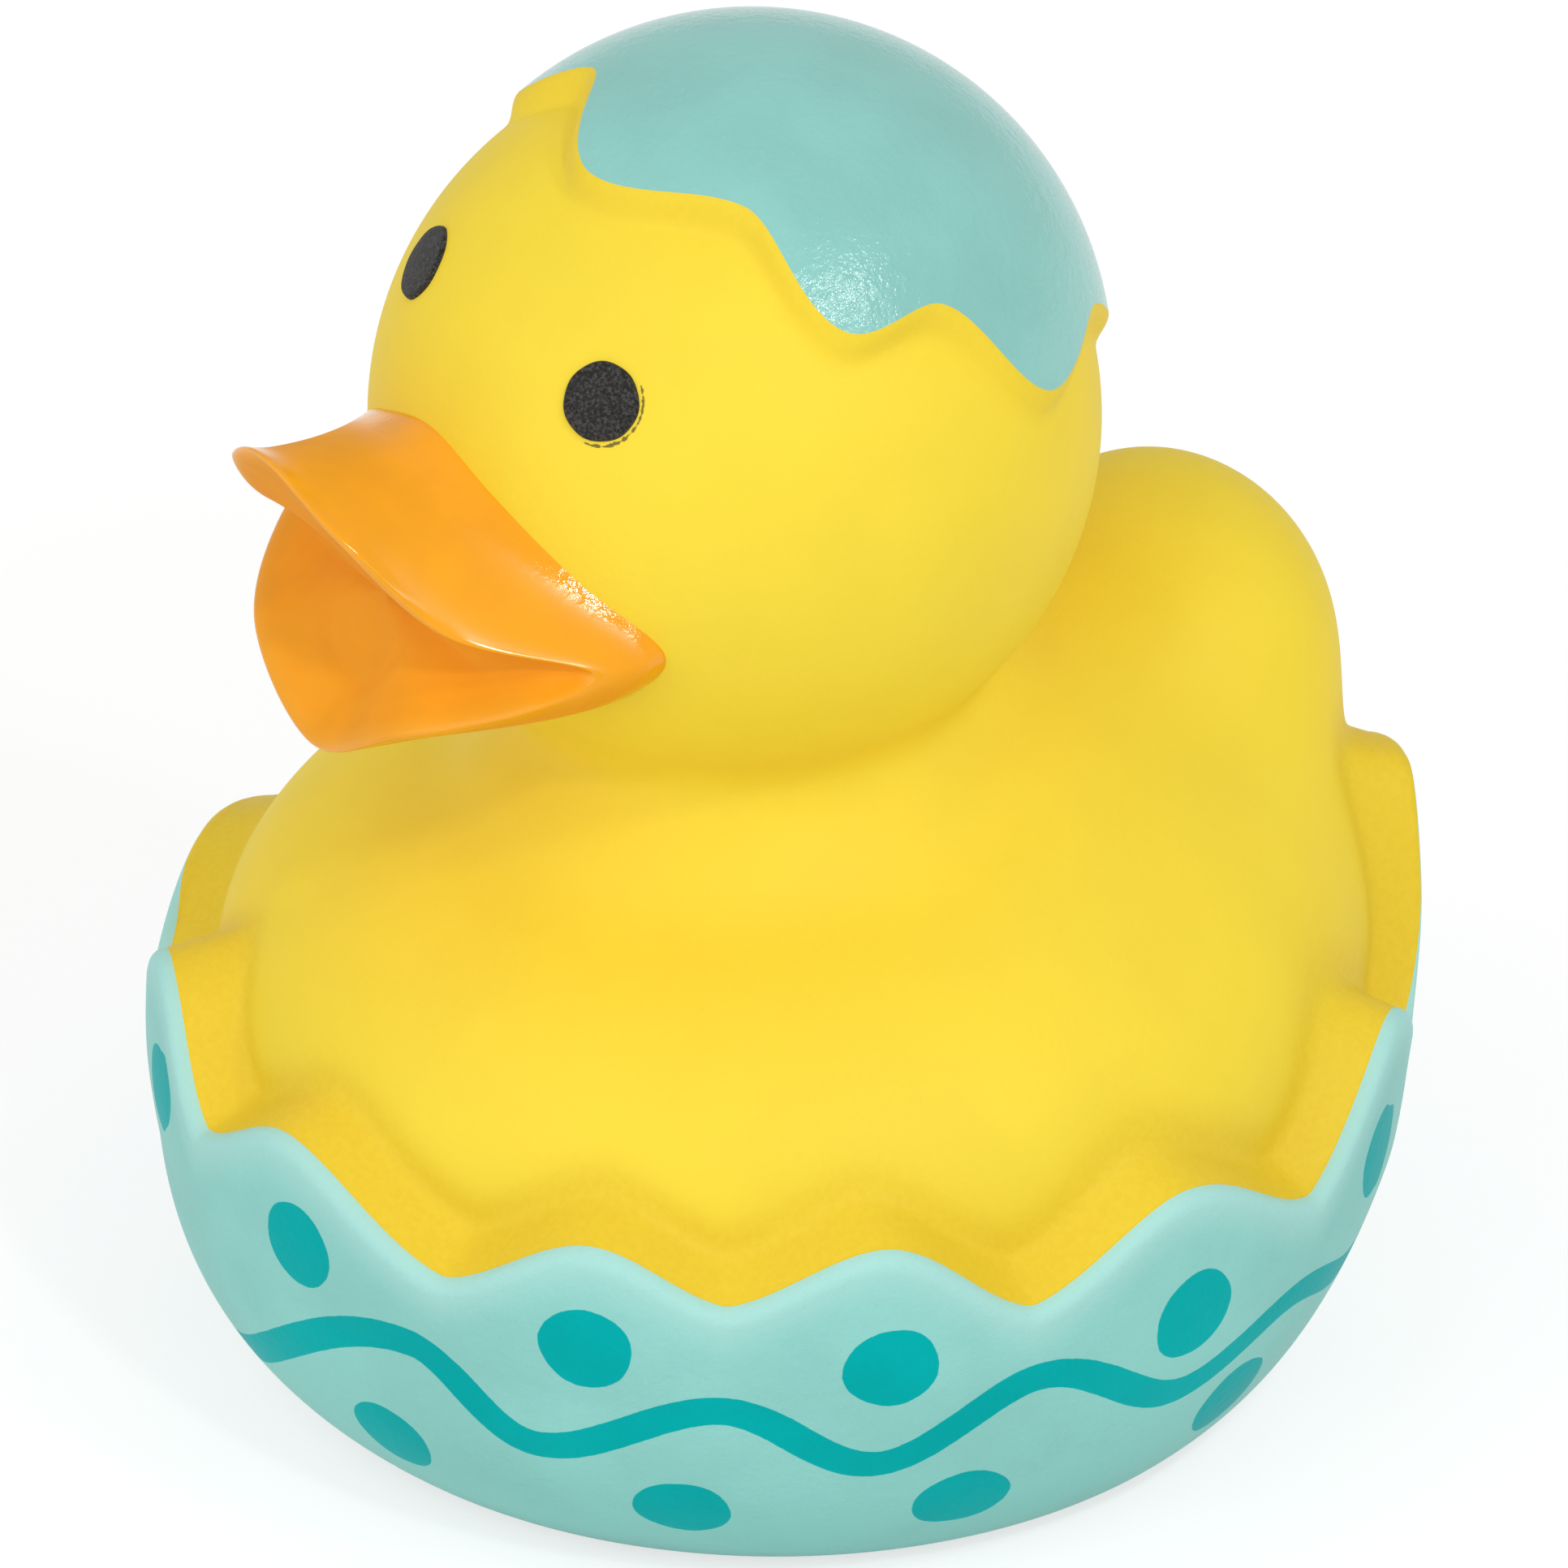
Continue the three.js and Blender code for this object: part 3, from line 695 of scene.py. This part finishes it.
def attribute(start, name):
    """Number kept on each point of the mesh."""
    return start.node("ShaderNodeAttribute", {"attribute_name": name}, output=2)


def link(shader, socket, value):
    """Feeds an input of the Principled shader."""
    value.tree.links.new(value.socket, shader.inputs[socket])


def bumped(shader, height, depth):
    """Bump of a height in metres that feeds the shader's normal."""
    inputs = {"Height": height, "Distance": depth, "Strength": 1.0}
    link(shader, "Normal", height.node("ShaderNodeBump", None, inputs))


def ring_gap(start, grain):
    """Distance from the thin line that the eye's paint mask left below the left eye:
    a sphere round the eye, broken by the grain and cut off above a sloping plane."""
    eye = Vector(EYE_PLACES[0]).normalized() * HEAD_RADIUS + Vector(HEAD_CENTRE)
    place = start.node("ShaderNodeTexCoord", output=3)
    distance = {"operation": "DISTANCE"}
    away = start.node("ShaderNodeVectorMath", distance, {0: place, 1: eye * MM}, output=1)
    slope = Vector((-0.75, -0.35, 0.56)).normalized()
    offset = start.node("ShaderNodeVectorMath", {"operation": "SUBTRACT"}, {0: place, 1: eye * MM})
    height = start.node("ShaderNodeVectorMath", {"operation": "DOT_PRODUCT"}, {0: offset, 1: slope}, 1)
    off = away - MASK_RING_RADIUS * MM
    gap = off.maths("ABSOLUTE", off)
    return gap + (height + 0.9 * MM).step(0, 0.6 * MM) * MM + (grain - 0.5) * (0.34 * MM)


def yellow_vinyl(finish):
    """Soft matt vinyl: fine moulded grain, faint mottling, and painted shade that darkens the yellow on
    the ledge, in the groove by the body and below the cap's edge.
    """
    material, shader, start = new_material("yellow_vinyl", {"Specular IOR Level": 0.2})
    mottle = noise(start, 90.0, 3.0)
    grain = noise(start, 2600.0, 2.0, 0.6)
    groove_shade = attribute(start, "groove_shade")
    plain = linear(finish.vinyl)
    light = mixed(toned(finish.vinyl, 0.97), toned(finish.vinyl, 1.02), mottle.step(0.35, 0.65))
    # Painted shade: darker yellow where the stored groove shade is high, on the ledge, by the body and
    # below the cap's edge
    groove_shaded = mixed(light, linear(finish.vinyl_shade), groove_shade * (0.7 + 0.3 * mottle))
    speck = mixed(groove_shaded, plain, grain.step(0.3, 0.7) * 0.25)
    ring = 1 - ring_gap(start, grain).step(0.03 * MM, 0.10 * MM)
    link(shader, "Base Color", mixed(speck, linear(finish.black), ring * 0.8))
    link(shader, "Roughness", 0.47 + 0.10 * mottle + 0.05 * grain)
    bumped(shader, grain, 0.00002)
    return material


def mint_paint(finish, name, mint, printed):
    """Sprayed paint: orange-peel gloss and, on the printed shell, a painted highlight that makes it
    paler along its edge, with the teal print where the stored distance is below nothing."""
    constants = {"Specular IOR Level": 0.03 if printed else 0.5}
    material, shader, start = new_material(name, constants)
    cloud = noise(start, 110.0, 4.0)
    peel = noise(start, 1500.0, 3.0, 0.65)
    fine = noise(start, 5200.0, 1.0)
    edge = attribute(start, "edge_distance")
    ragged = edge + 0.5 * (peel - 0.5)
    tone = mixed(toned(mint, 0.95), toned(mint, 1.03), cloud.step(0.35, 0.65))
    # Painted highlight: the mint turns paler within about four millimetres of the shell's edge, ragged
    # by the peel
    pale = mixed(linear(finish.mint_highlight), tone, ragged.step(0.0, 4.0)) if printed else tone
    speck = mixed(pale, toned(mint, 1.08), (peel * fine).step(0.33, 0.45) * 0.3)
    colour = speck
    if printed:
        distance = attribute(start, "print_distance")
        inside = 1 - (distance + 0.10 * (peel - 0.5)).step(-0.02, 0.03)
        teal = mixed(toned(finish.teal, 0.94), toned(finish.teal, 1.05), cloud.step(0.3, 0.7))
        colour = mixed(speck, teal, inside)
    link(shader, "Base Color", colour)
    link(shader, "Roughness", (0.34 if printed else 0.10) + 0.16 * cloud)
    bumped(shader, peel, 0.00006 if printed else 0.00008)
    return material


def bill_paint(finish):
    """Glossy enamel: even orange with a slow ripple, and painted shade that deepens it inside the mouth.
    """
    material, shader, start = new_material("bill_paint", {"Specular IOR Level": 0.42})
    ripple = noise(start, 260.0, 2.0)
    peel = noise(start, 1900.0, 3.0, 0.6)
    gloss = attribute(start, "gloss")
    depth = attribute(start, "mouth_shade")
    tone = mixed(toned(finish.orange, 0.96), toned(finish.orange, 1.04), ripple.step(0.3, 0.7))
    # Painted shade: the orange darkens towards the back of the mouth
    link(shader, "Base Color", mixed(tone, linear(finish.orange_shade), depth * 0.8))
    link(shader, "Roughness", 0.72 + 0.06 * ripple - 0.66 * gloss)
    bumped(shader, ripple * 0.4 + peel * attribute(start, "rough"), 0.00005)
    return material


def eye_paint(finish):
    """Thick matt black paint with a crumbled surface."""
    material, shader, start = new_material("eye_paint", {"Specular IOR Level": 0.4})
    crumble = noise(start, 5200.0, 4.0, 0.75)
    colour = mixed(toned(finish.black, 0.25), toned(finish.black, 3.4), crumble.step(0.42, 0.66))
    link(shader, "Base Color", colour)
    link(shader, "Roughness", 0.45 + 0.3 * crumble)
    bumped(shader, crumble, 0.00022)
    return material


def colour_property(name, colour, description):
    """Display colour that a user may change."""
    return FloatVectorProperty(
        name=name, description=description, default=[c / 255 for c in colour],
        min=0, max=1, size=3, subtype="COLOR_GAMMA",
    )


class DuckFinish(bpy.types.PropertyGroup):
    """Colours of the duck."""

    vinyl: colour_property("Vinyl", (248, 219, 60), "Yellow of the moulding")
    # Painted shade: darker yellow for the ledge, the groove by the body and the lip below the cap
    vinyl_shade: colour_property("Ledge", (233, 200, 46), "Yellow inside the cracked edge")
    mint: colour_property("Shell paint", (150, 215, 207), "Paint of the egg shell")
    # Painted highlight: paler mint along the shell's rounded edge, where it catches light
    mint_highlight: colour_property("Shell edge", (174, 226, 219), "Thin paint along its edge")
    cap_mint: colour_property("Cap paint", (140, 203, 195), "Paint of the piece on the head")
    teal: colour_property("Print", (0, 176, 176), "Dots and wavy line")
    orange: colour_property("Bill", (246, 164, 8), "Paint of the bill")
    # Painted shade: darker orange for the inside of the mouth, where it is shaded
    orange_shade: colour_property("Mouth", (238, 154, 18), "Paint inside the bill")
    black: colour_property("Eyes", (46, 45, 44), "Paint of the eyes")


class DuckPrint(bpy.types.PropertyGroup):
    """Print and eyes of the duck."""

    line_width: FloatProperty(
        name="Line width", description="Width of the wavy line", default=1.8 * MM, unit="LENGTH"
    )
    eye_radius: FloatProperty(
        name="Eye radius", description="Radius of an eye", default=2.05 * MM, unit="LENGTH"
    )
    eye_height: FloatProperty(
        name="Eye height", description="How far an eye stands out", default=0.25 * MM, unit="LENGTH"
    )
    cap_wall: FloatProperty(
        name="Cap wall", description="Thickness of the cap", default=1.0 * MM, unit="LENGTH"
    )


class DuckStage(bpy.types.PropertyGroup):
    """Camera and lights."""

    azimuth: FloatProperty(
        name="Azimuth", description="Camera's side, from the duck's front",
        default=math.radians(58), subtype="ANGLE",
    )
    elevation: FloatProperty(
        name="Elevation", description="Camera's height above the horizon",
        default=math.radians(30), subtype="ANGLE",
    )
    distance: FloatProperty(
        name="Distance", description="Camera to the duck", default=2.5, unit="LENGTH"
    )
    view_width: FloatProperty(
        name="View width", description="Width that the picture shows", default=80.5 * MM,
        unit="LENGTH",
    )
    sky: FloatProperty(name="Sky", description="Strength of the even light", default=0.6)
    key: FloatProperty(name="Key", description="Power of the main soft light", default=0.36)
    fill: FloatProperty(name="Fill", description="Power of the broad front light", default=2.45)
    glint: FloatProperty(name="Glint", description="Power of the light on the bill", default=0.56)
    floor_size: FloatProperty(
        name="Floor", description="Side of the floor", default=4.0, unit="LENGTH"
    )


class DUCK_OT_shell(bpy.types.Operator):
    """Build the painted lower shell of the egg, a cup with an air hole"""

    bl_idname = "duck.shell"
    bl_label = "Egg shell"

    def execute(self, context):
        azimuth = all_round()
        outside = shell_outside(azimuth)
        rows = np.concatenate([outside, shell_inside(azimuth, WALL)])
        last = len(outside) - 1
        mesh = closed_surface("egg_shell", rows, sharp=[0, last, len(rows) - 1])
        step = np.linalg.norm(np.diff(outside, axis=0), axis=-1)
        run = np.concatenate([np.zeros((1, COLUMNS)), np.cumsum(step, 0)])
        store(mesh, "edge_distance", run[-1:] - run)
        columns = zip(outside.transpose(1, 0, 2), run.T)
        level = np.array([np.interp(RIM_LEVEL, points[:, 2], along) for points, along in columns])
        top = outside[-1, :, 2]
        level = np.where(top < RIM_LEVEL, run[-1] + (RIM_LEVEL - top), level)
        store(mesh, "print_distance", print_distance(azimuth[None, :], level[None, :] - run))
        finish = context.scene.duck_finish
        piece = material_object("egg_shell", mesh, mint_paint(finish, "shell_paint", finish.mint, True))
        return {"FINISHED"}


class DUCK_OT_body(bpy.types.Operator):
    """Build the yellow ledge, body, neck and head"""

    bl_idname = "duck.body"
    bl_label = "Body and head"

    def execute(self, context):
        azimuth = all_round()
        outside = duck_outside(azimuth)
        skirt = on_shell(azimuth[None, :], SKIRT_RADIUS, outside[0, :, 2] - SKIRT_DROP)
        under_cap = HEAD_CENTRE + (outside[-1] - HEAD_CENTRE) * UNDER_CAP
        rows = np.concatenate([skirt, outside, under_cap[None]])
        poles = (np.array([0, 0, SKIRT_POLE]), HEAD_CENTRE)
        mesh = closed_surface("duck_body", rows, poles, sharp=[1, len(rows) - 2])
        # Painted shade: full on the yellow edge and the ledge up to the groove by the body, fading over
        # the body above it, and rising towards the cap's edge
        away = np.maximum(np.arange(len(rows)) - GROOVE_ROW, 0)
        groove_shade = np.exp(-((away / SHADE_FADE_ROWS) ** 2))
        groove_shade[-CAP_SHADE_ROWS:] = np.linspace(0.2, 0.7, CAP_SHADE_ROWS)
        store(mesh, "groove_shade", np.repeat(groove_shade, rows.shape[1]))
        piece = material_object("duck_body", mesh, yellow_vinyl(context.scene.duck_finish))
        return {"FINISHED"}


class DUCK_OT_cap(bpy.types.Operator):
    """Build the painted piece of shell on the head"""

    bl_idname = "duck.cap"
    bl_label = "Shell cap"

    def execute(self, context):
        azimuth = all_round()
        wall = context.scene.duck_print.cap_wall / MM
        teeth = teeth_at(CAP_TEETH, azimuth)[None, :]
        share = np.linspace(1, 0.03, 44)[:, None]
        outside = on_cap(azimuth[None, :], teeth * share)
        inside = on_cap(azimuth[None, :], teeth * np.linspace(0.05, 0.97, 12)[:, None], wall)
        rows = np.concatenate([inside, outside])
        pole = on_cap(np.zeros(1), np.zeros(1))[0]
        under = on_cap(np.zeros(1), np.zeros(1), wall)[0]
        mesh = closed_surface("egg_cap", rows, (under, pole), sharp=[len(inside)])
        drop = np.zeros(rows.shape[:2])
        drop[len(inside):] = (teeth * (1 - share)) * math.radians(1) * CAP_RADIUS
        store(mesh, "edge_distance", drop)
        finish = context.scene.duck_finish
        piece = material_object("egg_cap", mesh, mint_paint(finish, "cap_paint", finish.cap_mint, False))
        return {"FINISHED"}


class DUCK_OT_bill(bpy.types.Operator):
    """Build the open bill"""

    bl_idname = "duck.bill"
    bl_label = "Bill"

    def execute(self, context):
        rows, poles = bill_rows()
        mesh = closed_surface("bill", rows, poles, sharp=[0])
        # Painted shade: grows from the lip to the back of the mouth
        depth = np.zeros(rows.shape[:2])
        lip_row = 1 + BILL_OUTER_ROWS + BILL_TURN_ROWS
        depth[lip_row:] = np.linspace(0, 1, len(rows) - lip_row)[:, None]
        store(mesh, "mouth_shade", depth)
        row = np.arange(len(rows))
        root_gloss = np.exp(-(((row - 4) / 8) ** 2))
        lip_gloss = np.exp(-(((row - BILL_OUTER_ROWS - 1) / 5) ** 2))
        store(mesh, "gloss", np.repeat(np.maximum(root_gloss, lip_gloss), rows.shape[1]))
        store(mesh, "rough", np.repeat(0.1 + 0.7 * root_gloss, rows.shape[1]))
        piece = material_object("bill", mesh, bill_paint(context.scene.duck_finish))
        return {"FINISHED"}


class DUCK_OT_eyes(bpy.types.Operator):
    """Build the two eyes"""

    bl_idname = "duck.eyes"
    bl_label = "Eyes"

    def execute(self, context):
        settings = context.scene.duck_print
        paint = eye_paint(context.scene.duck_finish)
        for name, place in zip(("eye_left", "eye_right"), EYE_PLACES):
            rows, poles = eye_rows(place, settings.eye_radius / MM, settings.eye_height / MM)
            mesh = closed_surface(name, rows, poles)
            piece = material_object(name, mesh, paint)
        return {"FINISHED"}


def area_light(name, power, direction, away, width, height):
    """Soft light of a width and height that looks at the duck's middle from a direction."""
    lamp = bpy.data.lights.new(name, "AREA")
    lamp.energy = power
    lamp.shape = "RECTANGLE"
    lamp.size = width
    lamp.size_y = height
    holder = bpy.data.objects.new(name, lamp)
    bpy.context.scene.collection.objects.link(holder)
    out = Vector(direction).normalized()
    holder.location = Vector(LIGHTS_AIM) + out * away
    holder.rotation_euler = out.to_track_quat("Z", "Y").to_euler()


class DUCK_OT_stage(bpy.types.Operator):
    """Build the floor, the lights and the camera"""

    bl_idname = "duck.stage"
    bl_label = "Stage"

    def execute(self, context):
        stage = context.scene.duck_stage
        half = stage.floor_size / 2
        mesh = bpy.data.meshes.new("floor")
        corners = [(-half, -half, 0), (half, -half, 0), (half, half, 0), (-half, half, 0)]
        mesh.from_pydata(corners, [], [(0, 1, 2, 3)])
        mesh.materials.append(floor_material())
        floor = bpy.data.objects.new("floor", mesh)
        context.scene.collection.objects.link(floor)
        area_light("key_light", stage.key, *KEY_LIGHT)
        area_light("bill_light", stage.glint, *BILL_LIGHT)
        area_light("lip_light", stage.glint / 4, *LIP_LIGHT)
        area_light("front_light", stage.fill, *FRONT_LIGHT)
        world_light(stage.sky)
        camera = bpy.data.cameras.new("camera")
        camera.sensor_width = 36.0
        camera.lens = camera.sensor_width * stage.distance / stage.view_width
        camera.clip_end = 20
        holder = bpy.data.objects.new("camera", camera)
        context.scene.collection.objects.link(holder)
        a, e = stage.azimuth, stage.elevation
        back = Vector((math.sin(a) * math.cos(e), -math.cos(a) * math.cos(e), math.sin(e)))
        right = Vector((math.cos(a), math.sin(a), 0))
        aim = right * CAMERA_AIM_RIGHT + back.cross(right) * CAMERA_AIM_UP
        target = Vector((0, 0, RIM_LEVEL)) + aim
        holder.location = target * MM + back * stage.distance
        holder.rotation_euler = back.to_track_quat("Z", "Y").to_euler()
        context.scene.camera = holder
        context.scene.view_settings.view_transform = "Standard"
        return {"FINISHED"}


def floor_material():
    """Plain pale floor. To the camera and in reflections it also glows a little, so that
    it is white and its shadow stays soft."""
    material, shader, start = new_material("floor", {})
    path = start.node("ShaderNodeLightPath")
    tree = start.tree
    nodes = path.socket.node.outputs
    seen = Shade(tree, nodes["Is Camera Ray"]) + Shade(tree, nodes["Is Glossy Ray"])
    seen = seen + Shade(tree, nodes["Is Transmission Ray"])
    bounce = start.node("ShaderNodeBsdfDiffuse", None, {"Color": (0.84, 0.84, 0.84, 1)})
    shown = start.node("ShaderNodeBsdfDiffuse", None, {"Color": (0.4, 0.4, 0.4, 1)})
    glow = start.node("ShaderNodeEmission", None, {"Color": (1, 1, 1, 1), "Strength": 0.68})
    both = start.node("ShaderNodeAddShader", None, {0: shown, 1: glow})
    mixed_shader = start.node("ShaderNodeMixShader", None, {0: seen, 1: bounce, 2: both})
    tree.links.new(mixed_shader.socket, tree.nodes["Material Output"].inputs["Surface"])
    tree.nodes.remove(shader)
    return material


def world_light(strength):
    """Even white light, which the camera sees at full white."""
    world = bpy.data.worlds.new("studio")
    world.use_nodes = True
    tree = world.node_tree
    start = Shade(tree)
    path = start.node("ShaderNodeLightPath")
    seen = Shade(tree, path.socket.node.outputs["Is Camera Ray"])
    background = tree.nodes["Background"]
    background.inputs["Color"].default_value = (1, 1, 1, 1)
    tree.links.new(mixed_number(strength, 1.0, seen).socket, background.inputs["Strength"])
    bpy.context.scene.world = world


def mixed_number(a, b, share):
    """Number between a and b at a linked share of 0 or 1."""
    return share * (b - a) + a


STEPS = ["shell", "body", "cap", "bill", "eyes", "stage"]


class DUCK_PT_panel(bpy.types.Panel):
    """Buttons and settings of the duck"""

    bl_label = "Rubber duck"
    bl_space_type = "VIEW_3D"
    bl_region_type = "UI"
    bl_category = "Rubber duck"

    def draw(self, context):
        for step in STEPS:
            self.layout.operator(f"duck.{step}")
        for group in (context.scene.duck_finish, context.scene.duck_print, context.scene.duck_stage):
            for name in group.__annotations__:
                self.layout.prop(group, name)


CLASSES = [
    DuckFinish, DuckPrint, DuckStage, DUCK_OT_shell, DUCK_OT_body, DUCK_OT_cap,
    DUCK_OT_bill, DUCK_OT_eyes, DUCK_OT_stage, DUCK_PT_panel,
]


def register():
    """Registers the classes and their settings on the scene."""
    for made in CLASSES:
        bpy.utils.register_class(made)
    bpy.types.Scene.duck_finish = PointerProperty(type=DuckFinish)
    bpy.types.Scene.duck_print = PointerProperty(type=DuckPrint)
    bpy.types.Scene.duck_stage = PointerProperty(type=DuckStage)


def unregister():
    """Takes the settings and classes away."""
    del bpy.types.Scene.duck_finish
    del bpy.types.Scene.duck_print
    del bpy.types.Scene.duck_stage
    for made in reversed(CLASSES):
        bpy.utils.unregister_class(made)


def main():
    """Builds the duck and its stage."""
    register()
    for step in STEPS:
        getattr(bpy.ops.duck, step)()


if __name__ == "__main__":
    main()
